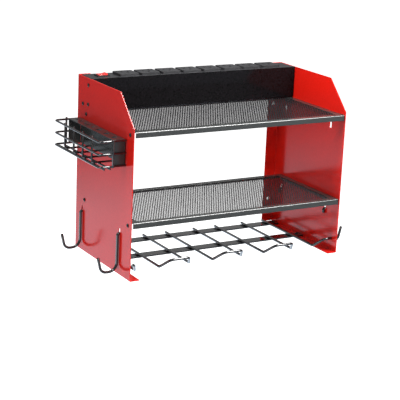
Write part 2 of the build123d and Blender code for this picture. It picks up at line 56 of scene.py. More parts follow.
# Camera: the photograph's angle, in a frame centred on the panels' front bottom edge.
CAMERA_AZIMUTH = math.radians(-30.483)
CAMERA_ELEVATION = math.radians(15.679)
CAMERA_ROLL = math.radians(2.558)
CAMERA_DISTANCE = 2395.69
CAMERA_ACROSS = -65.9
CAMERA_UP = 118.13
CAMERA_LENS = 121.7
CAMERA_CLIP = (0.05, 50)

panel_low, panel_high = span("left_panel")
front = panel_low.y
floor_level = panel_low.z
top_level = panel_high.z
panel_outer = -panel_low.x


def add_camera():
    """Camera at the photograph's place, without shift."""
    flat = math.cos(CAMERA_ELEVATION)
    away = (math.sin(CAMERA_AZIMUTH), -math.cos(CAMERA_AZIMUTH))
    back = Vector((away[0] * flat, away[1] * flat, math.sin(CAMERA_ELEVATION)))
    level_right = Vector((0, 0, 1)).cross(back).normalized()
    level_up = back.cross(level_right)
    right = level_right * math.cos(CAMERA_ROLL) + level_up * math.sin(CAMERA_ROLL)
    up = level_up * math.cos(CAMERA_ROLL) - level_right * math.sin(CAMERA_ROLL)
    data = bpy.data.cameras.new("camera")
    data.lens = CAMERA_LENS
    data.clip_start, data.clip_end = CAMERA_CLIP
    camera = bpy.data.objects.new("camera", data)
    place = right * CAMERA_ACROSS + up * CAMERA_UP + back * CAMERA_DISTANCE
    place += Vector((0, front, floor_level))
    turn = Matrix((right, up, back)).transposed().to_4x4()
    camera.matrix_world = Matrix.Translation(place * MM) @ turn
    bpy.context.scene.collection.objects.link(camera)
    bpy.context.scene.camera = camera


add_camera()


def join(source, output, target, place):
    """Link from a node's output to an input of another."""
    source.id_data.links.new(source.outputs[output], target.inputs[place])


def set_inputs(node, values):
    """Sets a node's inputs by name."""
    for name, value in values.items():
        node.inputs[name].default_value = value


# The part of the noise's range that colour and gloss follow.
NOISE_SPAN = (0.3, 0.7)


def add_noise(material, scale, detail=2.0, stretch=(1, 1, 1)):
    """Noise over the object's own coordinates. Scale is in waves per metre."""
    tree = material.node_tree
    place = tree.nodes.new("ShaderNodeTexCoord")
    spread = tree.nodes.new("ShaderNodeMapping")
    noise = tree.nodes.new("ShaderNodeTexNoise")
    set_inputs(spread, {"Scale": stretch})
    set_inputs(noise, {"Scale": scale, "Detail": detail})
    join(place, "Object", spread, "Vector")
    join(spread, "Vector", noise, "Vector")
    return noise


def vary_color(material, scale, dark, light, stretch):
    """Slow change of colour between two tones."""
    tree = material.node_tree
    noise = add_noise(material, scale, stretch=stretch)
    ramp = tree.nodes.new("ShaderNodeValToRGB")
    for element, share, color in zip(ramp.color_ramp.elements, NOISE_SPAN, (dark, light)):
        element.position = share
        element.color = (*color, 1)
    join(noise, "Fac", ramp, "Fac")
    join(ramp, "Color", tree.nodes["Principled BSDF"], "Base Color")


def vary_roughness(material, scale, low_value, high_value, stretch):
    """Change of gloss between two values."""
    tree = material.node_tree
    noise = add_noise(material, scale, stretch=stretch)
    spread = tree.nodes.new("ShaderNodeMapRange")
    set_inputs(spread, {"From Min": NOISE_SPAN[0], "From Max": NOISE_SPAN[1]})
    set_inputs(spread, {"To Min": low_value, "To Max": high_value})
    join(noise, "Fac", spread, "Value")
    join(spread, "Result", tree.nodes["Principled BSDF"], "Roughness")


def add_bump(material, scale, strength, height):
    """Fine relief. Height is in millimetres."""
    tree = material.node_tree
    noise = add_noise(material, scale, detail=3.0)
    bump = tree.nodes.new("ShaderNodeBump")
    set_inputs(bump, {"Strength": strength, "Distance": height * MM})
    join(noise, "Fac", bump, "Height")
    join(bump, "Normal", tree.nodes["Principled BSDF"], "Normal")


def surface(
    name, color, roughness, shades, gloss, grain=None, stretch=(1, 1, 1),
    metallic=0.0, coat=0.0, coat_roughness=0.1, specular=0.5,
):
    """Material with slow changes and a fine relief.

    Shades are scale, dark and light tone; gloss is scale, low and high roughness; grain is scale,
    strength and height. Scales are in waves per metre.
    """
    material = bpy.data.materials.new(name)
    material.use_nodes = True
    set_inputs(material.node_tree.nodes["Principled BSDF"], {
        "Base Color": (*color, 1),
        "Roughness": roughness,
        "Metallic": metallic,
        "Specular IOR Level": specular,
        "Coat Weight": coat,
        "Coat Roughness": coat_roughness,
    })
    vary_color(material, *shades, stretch)
    vary_roughness(material, *gloss, stretch)
    if grain:
        add_bump(material, *grain)
    return material


def moulded(name, color, roughness, grain, coat=0.0):
    """Moulded plastic with spark-eroded grain."""
    shades = (25, [0.85 * c for c in color], [1.2 * c for c in color])
    gloss = (120, roughness - 0.06, roughness + 0.06)
    grain = (grain, 0.3, 0.04)
    return surface(name, color, roughness, shades, gloss, grain, coat=coat, specular=0.25)


# Glossy red powder coat with a faint orange peel.
red_paint = surface(
    "red_powder", (0.6, 0.010, 0.005), 0.17,
    shades=(300, (0.57, 0.009, 0.004), (0.63, 0.011, 0.006)),
    gloss=(500, 0.15, 0.2), grain=(500, 0.12, 0.03),
)
# Satin charcoal powder coat with a fine grain.
shelf_paint = surface(
    "charcoal_powder", (0.034, 0.036, 0.035), 0.22,
    shades=(1500, (0.028, 0.03, 0.029), (0.041, 0.043, 0.042)),
    gloss=(300, 0.19, 0.26), grain=(900, 0.3, 0.04), specular=0.55,
)
# The shelf's charcoal coat, painted darker and duller on the thin perforated sheet as painted
# shade of the dense perforation.
shaded_mesh_paint = surface(
    "mesh_powder_shaded", (0.01, 0.01, 0.011), 0.35,
    shades=(900, (0.007, 0.007, 0.008), (0.014, 0.014, 0.015)),
    gloss=(400, 0.3, 0.42), grain=(1200, 0.2, 0.02), specular=0.2,
)
# High gloss black enamel of the strip's apron.
apron_paint = surface(
    "black_enamel", (0.005, 0.004, 0.005), 0.1,
    shades=(300, (0.003, 0.003, 0.003), (0.006, 0.005, 0.006)),
    gloss=(300, 0.08, 0.13), grain=(300, 0.05, 0.03), specular=0.12,
)
# Gloss black powder coat on bent wire.
wire_paint = surface(
    "wire_coat", (0.006, 0.006, 0.007), 0.12,
    shades=(200, (0.004, 0.004, 0.005), (0.009, 0.009, 0.01)),
    gloss=(150, 0.09, 0.16), grain=(800, 0.2, 0.03), coat=1.0, coat_roughness=0.06,
)
# Oiled black oxide on screws.
screw_black = surface(
    "black_oxide", (0.02, 0.02, 0.021), 0.32,
    shades=(900, (0.012, 0.012, 0.013), (0.035, 0.034, 0.034)),
    gloss=(700, 0.25, 0.42), grain=(1500, 0.15, 0.02), metallic=0.6,
)
# Bright zinc plating on nuts.
zinc = surface(
    "zinc_plate", (0.6, 0.6, 0.62), 0.3,
    shades=(600, (0.5, 0.51, 0.54), (0.66, 0.66, 0.66)),
    gloss=(900, 0.22, 0.4), grain=(1200, 0.15, 0.02), metallic=1.0,
)
# Rolled brass with marks along its length.
brass = surface(
    "brass_strip", (0.75, 0.58, 0.25), 0.3,
    shades=(300, (0.66, 0.49, 0.2), (0.8, 0.63, 0.3)),
    gloss=(900, 0.22, 0.4), stretch=(0.05, 1, 1), metallic=1.0,
)
housing_plastic = moulded("housing_plastic", (0.015, 0.015, 0.016), 0.45, 1300)
cover_plastic = moulded("cover_plastic", (0.022, 0.022, 0.024), 0.42, 1300)
outlet_plastic = moulded("outlet_plastic", (0.024, 0.024, 0.026), 0.46, 1600)
frame_plastic = moulded("frame_plastic", (0.012, 0.012, 0.013), 0.35, 1600)
rocker_plastic = moulded("rocker_plastic", (0.7, 0.02, 0.015), 0.2, 500, coat=0.5)


def link_piece(name, data, material, slot, body="frame", replaces=(), place=None):
    """Object in the scene with its material, riding on a body."""
    piece = bpy.data.objects.new(name, data)
    bpy.context.scene.collection.objects.link(piece)
    if not data.materials:
        data.materials.append(material)
    if place is not None:
        piece.matrix_world = place
    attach(piece, body)
    if replaces:
        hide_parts(*replaces)
    return piece


# A path that turns by less than this, in radians, counts as straight.
STRAIGHT = 0.001


def corner_points(before, corner, after, radius, steps):
    """Points of the arc that rounds one corner of a path."""
    a = (before - corner).normalized()
    b = (after - corner).normalized()
    angle = a.angle(b)
    turn = math.pi - angle
    if radius <= 0 or turn < STRAIGHT:
        return [corner]
    centre = corner + (a + b).normalized() * radius / math.sin(angle / 2)
    reach = radius / math.tan(angle / 2)
    start = corner + a * reach - centre
    axis = start.cross(corner + b * reach - centre).normalized()
    count = max(2, math.ceil(steps * turn / QUARTER))
    return [centre + Matrix.Rotation(turn * k / count, 3, axis) @ start for k in range(count + 1)]


def rounded_path(points, bends, closed=False, steps=8):
    """Points of a path with its corners rounded; bends is one radius or one for each corner."""
    points = [Vector((*p, 0)[:3]) for p in points]
    count = len(points)
    corners = list(range(count)) if closed else list(range(1, count - 1))
    if not isinstance(bends, (list, tuple)):
        bends = [bends] * len(corners)
    path = [] if closed else [points[0]]
    for index, radius in zip(corners, bends):
        after = points[(index + 1) % count]
        path += corner_points(points[index - 1], points[index], after, radius, steps)
    return path if closed else path + [points[-1]]


def ring(u, v, radius, steps=28):
    """Round hole in a flat pattern."""
    turns = [2 * math.pi * k / steps for k in range(steps)]
    return [Vector((u + radius * math.cos(t), v + radius * math.sin(t), 0)) for t in turns]


def rectangle(u, v, width, height, corner=0.0):
    """Rectangle about a point of a flat pattern, its corners rounded."""
    x, y = width / 2, height / 2
    points = [(u - x, v - y), (u + x, v - y), (u + x, v + y), (u - x, v + y)]
    return rounded_path(points, corner, closed=True)


# How near to a fold a point already counts as on it, in millimetres.
CUT_REACH = 0.00001
# Edges sharper than these stay sharp in the shading.
SHARP_ANGLE = math.radians(50)
TURNED_SHARP_ANGLE = math.radians(40)
# Points of a turned piece nearer than this become one, in metres.
MERGE_REACH = 0.000001


def flap(width, bend):
    """Length in the flat pattern of a flange that is width wide once bent."""
    return bend * QUARTER + width - bend


def folded(point, flat, bend):
    """Where a point of a flat pattern goes once what lies outside flat is bent square."""
    place = []
    depth = 0.0
    for value, (start, end) in zip(point, flat):
        past = max(start - value, value - end, 0.0)
        turn = min(past / bend, QUARTER)
        if past > 0:
            outward = bend * math.sin(turn)
            value = end + outward if value > end else start - outward
        depth += bend * (1 - math.cos(turn)) + past - turn * bend
        place.append(value)
    return Vector((*place, -depth))


def cut_folds(bm, flat, bend, steps=6):
    """Cuts the pattern's faces along the lines where it bends."""
    for axis, (start, end) in enumerate(flat):
        normal = Vector((1 - axis, axis, 0))
        for k in range(steps + 1):
            past = bend * QUARTER * k / steps
            for value in (start - past, end + past):
                crossed = []
                for face in bm.faces:
                    reach = [vert.co[axis] for vert in face.verts]
                    if min(reach) < value < max(reach):
                        crossed.append(face)
                around = {edge for face in crossed for edge in face.edges}
                corners = {vert for face in crossed for vert in face.verts}
                bmesh.ops.bisect_plane(
                    bm,
                    geom=list(corners) + list(around) + crossed,
                    plane_co=normal * value,
                    plane_no=normal,
                    dist=CUT_REACH,
                )


def add_loop_edges(bm, loop):
    """Closed chain of edges through a loop's points."""
    made = [bm.verts.new(point) for point in loop]
    for a, b in zip(made, made[1:] + made[:1]):
        bm.edges.new((a, b))


def fill_pattern(bm):
    """Fills between the outline and the holes, facing up. Tagged edges stay open."""
    edges = [edge for edge in bm.edges if len(edge.link_faces) < 2 and not edge.tag]
    bmesh.ops.triangle_fill(bm, use_beauty=True, edges=edges)
    bm.normal_update()
    for face in bm.faces:
        if face.normal.z < 0:
            face.normal_flip()


def harden(piece, thickness, bevel):
    """Gives a folded surface its thickness and small round edges, with clean shading."""
    solid = piece.modifiers.new("thickness", "SOLIDIFY")
    solid.thickness = thickness * MM
    solid.offset = -1
    solid.use_even_offset = True
    if bevel:
        edge = piece.modifiers.new("edges", "BEVEL")
        edge.width = bevel * MM
        edge.segments = 2
        edge.limit_method = "ANGLE"
        edge.angle_limit = SHARP_ANGLE
    graph = bpy.context.evaluated_depsgraph_get()
    graph.update()
    whole = bpy.data.meshes.new_from_object(piece.evaluated_get(graph))
    piece.modifiers.clear()
    piece.data = whole
    whole.shade_smooth()
    whole.set_sharp_from_angle(angle=SHARP_ANGLE)
    shading = piece.modifiers.new("shading", "WEIGHTED_NORMAL")
    shading.keep_sharp = True


def sheet_piece(
    name, outline, holes, thickness, place, material, slot,
    flat=None, bend=0, bevel=0.25, field=None, **where,
):
    """Sheet with holes, put in place by a matrix. What lies outside flat is bent square first."""
    bm = bmesh.new()
    if field:
        field(bm)
    for loop in [outline] + list(holes):
        add_loop_edges(bm, loop)
    fill_pattern(bm)
    if bend:
        cut_folds(bm, flat, bend)
    mirrored = place.to_3x3().determinant() < 0
    for vert in bm.verts:
        spot = folded(vert.co[:2], flat, bend) if bend else vert.co
        vert.co = place @ spot * MM
    if mirrored:
        bmesh.ops.reverse_faces(bm, faces=bm.faces[:])
    mesh = bpy.data.meshes.new(name)
    bm.to_mesh(mesh)
    bm.free()
    harden(link_piece(name, mesh, material, slot, **where), thickness, bevel)


def axes(along, across, outward, origin=(0, 0, 0)):
    """Matrix that puts a pattern's two directions and its outward side in the object's frame."""
    turn = Matrix((along, across, outward)).transposed().to_4x4()
    return Matrix.Translation(origin) @ turn


# Share of a wire's radius that is left at its very end.
WIRE_TIP = 0.8
WIRE_SMOOTHNESS = 6


def seen_from_above(z):
    """Place of a pattern that lies level, its outward side up."""
    return axes((1, 0, 0), (0, 1, 0), (0, 0, 1), (0, 0, z))


def seen_from_front(y):
    """Place of a pattern that stands parallel to the wall, its outward side to the front."""
    return axes((1, 0, 0), (0, 0, 1), (0, -1, 0), (0, y, 0))


def seen_from_side(side, x):
    """Place of a pattern that stands square to the wall, its outward side away from the middle."""
    return axes((0, 1, 0), (0, 0, 1), (side, 0, 0), (side * x, 0, 0))


def wire_piece(name, points, bends, radius, **where):
    """Round wire along a path, its ends slightly chamfered."""
    path = rounded_path(points, bends)
    first = (path[1] - path[0]).normalized()
    last = (path[-2] - path[-1]).normalized()
    chamfer = (1 - WIRE_TIP) * radius
    path.insert(1, path[0] + first * chamfer)
    path.insert(-1, path[-1] + last * chamfer)
    data = bpy.data.curves.new(name, "CURVE")
    data.dimensions = "3D"
    data.bevel_depth = radius * MM
    data.bevel_resolution = WIRE_SMOOTHNESS
    data.use_fill_caps = True
    data.twist_mode = "MINIMUM"
    spline = data.splines.new("POLY")
    spline.points.add(len(path) - 1)
    for point, spot in zip(spline.points, path):
        point.co = (*(spot * MM), 1)
    spline.points[0].radius = WIRE_TIP
    spline.points[-1].radius = WIRE_TIP
    spline.use_smooth = True
    link_piece(name, data, wire_paint, "wire_steel", **where)


def turned_mesh(name, rings, sides=24):
    """Mesh through a stack of rings: radius, height and number of flats, which is 0 for round."""
    bm = bmesh.new()
    loops = []
    for radius, height, flats in rings:
        loop = []
        for k in range(sides):
            turn = 2 * math.pi * k / sides
            reach = radius
            if flats:
                part = 2 * math.pi / flats
                reach = radius / math.cos((turn + part / 2) % part - part / 2)
            spot = Vector((reach * math.cos(turn), reach * math.sin(turn), height))
            loop.append(bm.verts.new(spot * MM))
        loops.append(loop)
    for lower, upper in zip(loops, loops[1:]):
        for k in range(sides):
            bm.faces.new((lower[k - 1], lower[k], upper[k], upper[k - 1]))
    if rings[0] != rings[-1]:
        bm.faces.new(loops[0][::-1])
        bm.faces.new(loops[-1])
    else:
        bmesh.ops.remove_doubles(bm, verts=bm.verts[:], dist=MERGE_REACH)
    bmesh.ops.recalc_face_normals(bm, faces=bm.faces[:])
    mesh = bpy.data.meshes.new(name)
    bm.to_mesh(mesh)
    bm.free()
    mesh.shade_smooth()
    mesh.set_sharp_from_angle(angle=TURNED_SHARP_ANGLE)
    return mesh


def facing(spot, direction):
    """Matrix at a spot with its Z along a direction, in metres."""
    turn = Vector((0, 0, 1)).rotation_difference(Vector(direction)).to_matrix().to_4x4()
    return Matrix.Translation(Vector(spot) * MM) @ turn


def put_copies(name, mesh, places, material, slot, body="frame"):
    """Copies of one mesh, numbered, each at its own place."""
    for number, place in enumerate(places, start=1):
        link_piece(f"{name}_{number}", mesh, material, slot, body=body, place=place)


# Side panels.
PANEL_SHEET = 1.5
PANEL_BEND = 2.0
PANEL_CORNERS = (1.5, 1.5, 0, 2, 2, 1.5, 1.5)
BOTTOM_FLANGE = 19.5
BACK_FLANGE = 24.5
CORNER_CUT = 53.0
SCREW_HOLE = 2.25
WALL_HOLE = 3.25
GLAND_HOLE = 7.9
SLOT = (6.0, 13.0)
# Just under half the slot's width, so that its ends are round.
SLOT_CORNER = 2.99
slot_rows = (front + 43.0, -28.0)
upper_slot = 90.0
lower_slot = -65.5
wall_holes = (-95.0, 95.0)
wall_hole_out = 201.0
SHELF_SCREW_INSET = 12.0
SHELF_SCREW_DROP = 6.4
shelf_spans = {node: span(node) for node in ("top_shelf", "middle_shelf")}
shelf_screw_spots = [
    (y, high.z - SHELF_SCREW_DROP)
    for low, high in shelf_spans.values()
    for y in (low.y + SHELF_SCREW_INSET, high.y - SHELF_SCREW_INSET)
]
apron_screw_row = -44.0
apron_screw_spots = [(apron_screw_row, 128.8), (apron_screw_row, 163.0)]
bracket_screw_spot = (-23.0, 126.5)
bar_rows = (-104.0, -20.0)
bar_screw_out = 203.5
gland_spot = (-28.0, 155.0)


def screw_holes(spots, radius=SCREW_HOLE):
    """Small round holes in a flat pattern."""
    return [ring(u, v, radius, steps=20) for u, v in spots]


def panel_holes(side):
    """Holes in a panel's flat pattern."""
    holes = screw_holes(shelf_screw_spots + apron_screw_spots + [bracket_screw_spot])
    for y in slot_rows:
        holes += [rectangle(y, z, *SLOT, SLOT_CORNER) for z in (upper_slot, lower_slot)]
    back = flap(panel_outer - wall_hole_out, PANEL_BEND) - PANEL_BEND
    holes += [ring(back, z, WALL_HOLE) for z in wall_holes]
    below = floor_level + PANEL_BEND - flap(panel_outer - bar_screw_out, PANEL_BEND)
    holes += screw_holes([(y, below) for y in bar_rows])
    if side > 0:
        holes.append(ring(*gland_spot, GLAND_HOLE, steps=36))
    return holes


def add_panel(side, node):
    """Bent side panel with its bottom flange and its flange on the wall."""
    flat = ((front, -PANEL_BEND), (floor_level + PANEL_BEND, top_level))
    (_, rear), (bottom, _) = flat
    low_edge = bottom - flap(BOTTOM_FLANGE, PANEL_BEND)
    back_edge = rear + flap(BACK_FLANGE, PANEL_BEND)
    corners = [
        (front, low_edge),
        (rear, low_edge),
        (rear, bottom),
        (back_edge, bottom),
        (back_edge, top_level),
        (front + CORNER_CUT, top_level),
        (front, top_level - CORNER_CUT),
    ]
    outline = rounded_path(corners, PANEL_CORNERS, closed=True)
    place = seen_from_side(side, panel_outer)
    sheet_piece(
        f"{node}_sheet", outline, panel_holes(side), PANEL_SHEET, place, red_paint, "red_steel",
        flat=flat, bend=PANEL_BEND, replaces=[node],
    )


add_panel(-1, "left_panel")
add_panel(1, "right_panel")

# Shelves: a fine staggered field of round holes inside a solid border, with lips bent down.
SHELF_SHEET = 1.0
SHELF_BEND = 2.2
FRONT_LIP = 10.0
SIDE_LIP = 12.0
BACK_LIP = 8.0
FIELD_PITCH = 4.8
FIELD_HOLE = 1.98
FIELD_BORDER = 14.0
FIELD_FRONT_BORDER = 11.0
FIELD_CORNER = 2.0
FIELD_OVERLAP = 2.5
FIELD_SHEET = 0.55


def add_cell(bm, known, u, v):
    """One cell of the perforation: six faces from a hexagon in to a round hole."""
    def vert(x, y):
        key = (round(x, 3), round(y, 3))
        if key not in known:
            known[key] = bm.verts.new((x, y, 0))
        return known[key]

    reach = FIELD_PITCH / math.sqrt(3)
    hexagon = [(math.radians(30 + 60 * k), reach) for k in range(6)]
    circle = [(math.radians(30 * k), FIELD_HOLE) for k in range(12)]
    outer = [vert(u + r * math.cos(t), v + r * math.sin(t)) for t, r in hexagon]
    inner = [vert(u + r * math.cos(t), v + r * math.sin(t)) for t, r in circle]
    for k in range(6):
        rim = [inner[(2 * k + step) % 12] for step in (3, 2, 1)]
        bm.faces.new([outer[k], outer[(k + 1) % 6]] + rim)


def perforation(half_width, v_low, v_high):
    """Field of cells in staggered rows along the shelf, centred between the borders.

    The edges of its holes are tagged, so that the fill around the field leaves them open.
    """
    def field(bm):
        row_pitch = FIELD_PITCH * math.sqrt(3) / 2
        columns = int(2 * half_width / FIELD_PITCH - 0.5)
        rows = int((v_high - v_low) / row_pitch)
        start_u = -(columns - 0.5) * FIELD_PITCH / 2
        start_v = (v_low + v_high) / 2 - (rows - 1) * row_pitch / 2
        known = {}
        for row in range(rows):
            shift = FIELD_PITCH / 2 if row % 2 else 0
            v = start_v + row * row_pitch
            for column in range(columns):
                add_cell(bm, known, start_u + shift + column * FIELD_PITCH, v)
        chord = 2 * FIELD_HOLE * math.sin(math.radians(15))
        for edge in bm.edges:
            edge.tag = edge.calc_length() < 1.05 * chord

    return field


def add_shelf(node):
    """Perforated shelf in place of its node."""
    low, high = shelf_spans[node]
    half = high.x
    top = high.z
    flat = (
        (-half + SHELF_BEND, half - SHELF_BEND),
        (low.y + SHELF_BEND, high.y - SHELF_BEND),
    )
    (left, right), (near, far) = flat
    side_edge = right + flap(SIDE_LIP, SHELF_BEND)
    near_edge = near - flap(FRONT_LIP, SHELF_BEND)
    far_edge = far + flap(BACK_LIP, SHELF_BEND)
    corners = [
        (left, near_edge), (right, near_edge), (right, near), (side_edge, near),
        (side_edge, far), (right, far), (right, far_edge), (left, far_edge),
        (left, far), (-side_edge, far), (-side_edge, near), (left, near),
    ]
    outline = [Vector((u, v, 0)) for u, v in corners]
    screw_out = right + flap(SHELF_SCREW_DROP, SHELF_BEND)
    rows = (low.y + SHELF_SCREW_INSET, high.y - SHELF_SCREW_INSET)
    holes = screw_holes([(side * screw_out, y) for side in (-1, 1) for y in rows])
    ends = (low.y + FIELD_FRONT_BORDER, high.y - FIELD_BORDER)
    middle = (ends[0] + ends[1]) / 2
    window = (2 * (half - FIELD_BORDER), ends[1] - ends[0])
    holes.append(rectangle(0, middle, *window, FIELD_CORNER))
    sheet_piece(
        f"{node}_sheet", outline, holes, SHELF_SHEET, seen_from_above(top),
        shelf_paint, "shelf_steel", flat=flat, bend=SHELF_BEND, bevel=0.2, replaces=[node],
    )
    field = perforation(window[0] / 2, middle - window[1] / 2, middle + window[1] / 2)
    rim = rectangle(0, middle, *[size + 2 * FIELD_OVERLAP for size in window], FIELD_CORNER)
    sheet_piece(
        f"{node}_mesh", rim, [], FIELD_SHEET, seen_from_above(top - SHELF_SHEET),
        shaded_mesh_paint, "shelf_steel", bevel=0, field=field,
    )


add_shelf("top_shelf")
add_shelf("middle_shelf")

# Apron in front of the strip, with a foot and two end flanges bent back.
APRON_SHEET = 1.5
APRON_BEND = 2.0
APRON_CORNERS = (1.5, 1.5, 0, 1.5, 1.5, 1.5, 1.5, 0)
APRON_FOOT = 12.0
APRON_END = 14.0


def add_apron():
    """Apron in place of its node."""
    low, high = span("strip_apron")
    half = high.x
    flat = ((-half + APRON_BEND, half - APRON_BEND), (low.z + APRON_BEND, high.z))
    (left, right), (bottom, top) = flat
    end = right + flap(APRON_END, APRON_BEND)
    foot = bottom - flap(APRON_FOOT, APRON_BEND)
    corners = [
        (left, foot), (right, foot), (right, bottom), (end, bottom),
        (end, top), (-end, top), (-end, bottom), (left, bottom),
    ]
    outline = rounded_path(corners, APRON_CORNERS, closed=True)
    out = right + flap(apron_screw_row - low.y, APRON_BEND)
    holes = screw_holes([(side * out, z) for side in (-1, 1) for _, z in apron_screw_spots])
    sheet_piece(
        "strip_apron_sheet", outline, holes, APRON_SHEET, seen_from_front(low.y),
        apron_paint, "gloss_steel", flat=flat, bend=APRON_BEND, replaces=["strip_apron"],
    )


add_apron()

# Brackets under the strip's ends.
BRACKET_SHEET = 1.5
BRACKET_BEND = 2.2
BRACKET_CORNER = 2.5
FOOT_HOLE = 1.7
FOOT_SCREW_OUT = 195.2


def add_bracket(side, node):
    """Angle bracket in place of its node: its leg on the panel, its foot under the strip."""
    low, high = span(node)
    out = max(abs(low.x), abs(high.x))
    reach = high.x - low.x
    row = (low.y + high.y) / 2
    wide = high.y - low.y
    flat = ((low.y, high.y), (low.z, high.z - BRACKET_BEND))
    foot_edge = flat[1][1] + flap(reach, BRACKET_BEND)
    middle = (low.z + foot_edge) / 2
    outline = rectangle(row, middle, wide, foot_edge - low.z, BRACKET_CORNER)
    foot_hole = flat[1][1] + flap(out - FOOT_SCREW_OUT, BRACKET_BEND)
    holes = screw_holes([bracket_screw_spot]) + screw_holes([(row, foot_hole)], FOOT_HOLE)
    sheet_piece(
        f"{node}_sheet", outline, holes, BRACKET_SHEET, seen_from_side(side, out),
        shelf_paint, "shelf_steel", flat=flat, bend=BRACKET_BEND, replaces=[node],
    )


add_bracket(-1, "strip_bracket_left")
add_bracket(1, "strip_bracket_right")

# Flat bars that carry the wire rack.
BAR_CORNER = 2.0


def add_bar(node):
    """Flat bar in place of its node."""
    low, high = span(node)
    wide = high.y - low.y
    row = (high.y + low.y) / 2
    outline = rectangle(0, row, 2 * high.x, wide, BAR_CORNER)
    holes = screw_holes([(side * bar_screw_out, row) for side in (-1, 1)])
    sheet_piece(
        f"{node}_flat", outline, holes, high.z - low.z,
        seen_from_above(high.z), wire_paint, "shelf_steel", bevel=0.4, replaces=[node],
    )


add_bar("rack_bar_front")
add_bar("rack_bar_rear")

# Wire rack: loops with lips bent up, and half loops at the ends.
RACK_WIRE = 2.5
LOOP_HALF = 30.0
LIP_INSET = 12.0
LIP_RUN = 20.0
LIP_BENDS = (6.0, 9.0)


def add_rack_loop(node):
    """Wire loop in place of its node."""
    low, high = span(node)
    x = (low.x + high.x) / 2
    rod = low.z + RACK_WIRE
    lip = high.z - RACK_WIRE
    tip = low.y + RACK_WIRE
    foot = tip + LIP_RUN
    left, right = x - LOOP_HALF, x + LOOP_HALF
    points = [
        (left, high.y, rod),
        (left, foot, rod),
        (left + LIP_INSET, tip, lip),
        (right - LIP_INSET, tip, lip),
        (right, foot, rod),
        (right, high.y, rod),
    ]
    bends = LIP_BENDS + LIP_BENDS[::-1]
    wire_piece(f"{node}_wire", points, bends, RACK_WIRE, replaces=[node])


def add_rack_end(side, node):
    """Half loop in place of its node, its lip running on to the panel."""
    low, high = span(node)
    wall = max(abs(low.x), abs(high.x))
    x = min(abs(low.x), abs(high.x)) + RACK_WIRE
    rod = low.z + RACK_WIRE
    lip = high.z - RACK_WIRE
    tip = low.y + RACK_WIRE
    points = [
        (side * x, high.y, rod),
        (side * x, tip + LIP_RUN, rod),
        (side * (x + LIP_INSET), tip, lip),
        (side * wall, tip, lip),
    ]
    wire_piece(f"{node}_wire", points, LIP_BENDS, RACK_WIRE, replaces=[node])


rack_loops = ("rack_loop_left", "rack_loop_centre", "rack_loop_right")
for loop_name in rack_loops:
    add_rack_loop(loop_name)
add_rack_end(-1, "rack_end_left")
add_rack_end(1, "rack_end_right")

# Hooks that hang in the lower slots.
HOOK_WIRE = 2.5
HOOK_BENDS = (3.0, 3.0, 15.34, 12.39)
HOOK_GAP_OUTSIDE = 0.7
HOOK_GAP_INSIDE = 0.4
HOOK_TAIL = 8.5
HOOK_WIDTH = 29.5
HOOK_TIP = (6.5, 27.5)


def add_hook(side, node):
    """J hook in place of its node: in through the slot, down the panel and round in a U."""
    low, high = span(node)
    row = (low.y + high.y) / 2
    neck = high.z - HOOK_WIRE
    bottom = low.z + HOOK_WIRE
    shank = panel_outer + HOOK_GAP_OUTSIDE + HOOK_WIRE
    inner = panel_outer - PANEL_SHEET - HOOK_GAP_INSIDE - HOOK_WIRE
    toe = shank + HOOK_WIDTH
    points = [
        (side * inner, row, neck - HOOK_TAIL),
        (side * inner, row, neck),
        (side * shank, row, neck),
        (side * shank, row, bottom),
        (side * toe, row, bottom),
        (side * (toe + HOOK_TIP[0]), row, bottom + HOOK_TIP[1]),
    ]
    wire_piece(f"{node}_wire", points, HOOK_BENDS, HOOK_WIRE, body=node, replaces=[node])


for side_name, side in (("left", -1), ("right", 1)):
    for row_name in ("front", "rear"):
        add_hook(side, f"hook_{side_name}_{row_name}")

# Side basket: three hoops, four ribs, two floor wires and two uprights at its ends.
BASKET_WIRE = 1.8
HOOP_BEND = 7.0
RIB_BEND = 6.0
UPRIGHT_GAP = 0.04
basket_low, basket_high = span("tool_rack")
hoop_levels = []


def basket_wire(name, points, bend=0, **where):
    """Wire that moves with the basket."""
    wire_piece(name, points, bend, BASKET_WIRE, body="side_basket", **where)


def add_hoop(node):
    """Basket hoop in place of its node."""
    low, high = span(node)
    z = (low.z + high.z) / 2
    near = low.y + BASKET_WIRE
    far = high.y - BASKET_WIRE
    out = low.x + BASKET_WIRE
    points = [(high.x, near, z), (out, near, z), (out, far, z), (high.x, far, z)]
    basket_wire(f"{node}_wire", points, HOOP_BEND, replaces=[node])
    hoop_levels.append(z)


def add_rib(node):
    """Basket rib in place of its node."""
    low, high = span(node)
    y = (low.y + high.y) / 2
    out = low.x + BASKET_WIRE
    z = low.z + BASKET_WIRE
    points = [(out, y, high.z), (out, y, z), (high.x, y, z)]
    basket_wire(f"{node}_wire", points, RIB_BEND, replaces=[node])
    return out, y


def add_floor_wire(node):
    """Wire under the basket's floor in place of its node."""
    low, high = span(node)
    x = (low.x + high.x) / 2
    z = (low.z + high.z) / 2
    points = [(x, low.y, z), (x, high.y, z)]
    basket_wire(f"{node}_wire", points, replaces=[node])


def add_end_rib(name, outward, end):
    """Upright wire on the outside of the hoops at one end of the basket. It has no node."""
    x = basket_low.x - BASKET_WIRE
    y = end + outward * (BASKET_WIRE + UPRIGHT_GAP)
    points = [(x, y, rib_low), (x, y, rib_high)]
    basket_wire(f"basket_end_rib_{name}", points)
    return x, y


for number in (1, 2, 3):
    add_hoop(f"basket_hoop_{number}")
rib_spots = [add_rib(f"basket_rib_{number}") for number in (1, 2, 3, 4)]
for number in (1, 2):
    add_floor_wire(f"basket_floor_wire_{number}")
hoop_ends = span("basket_hoop_1")
rib_low, rib_high = (corner.z for corner in span("basket_rib_1"))
end_ribs = [
    (add_end_rib("front", -1, hoop_ends[0].y), -1),
    (add_end_rib("rear", 1, hoop_ends[1].y), 1),
]

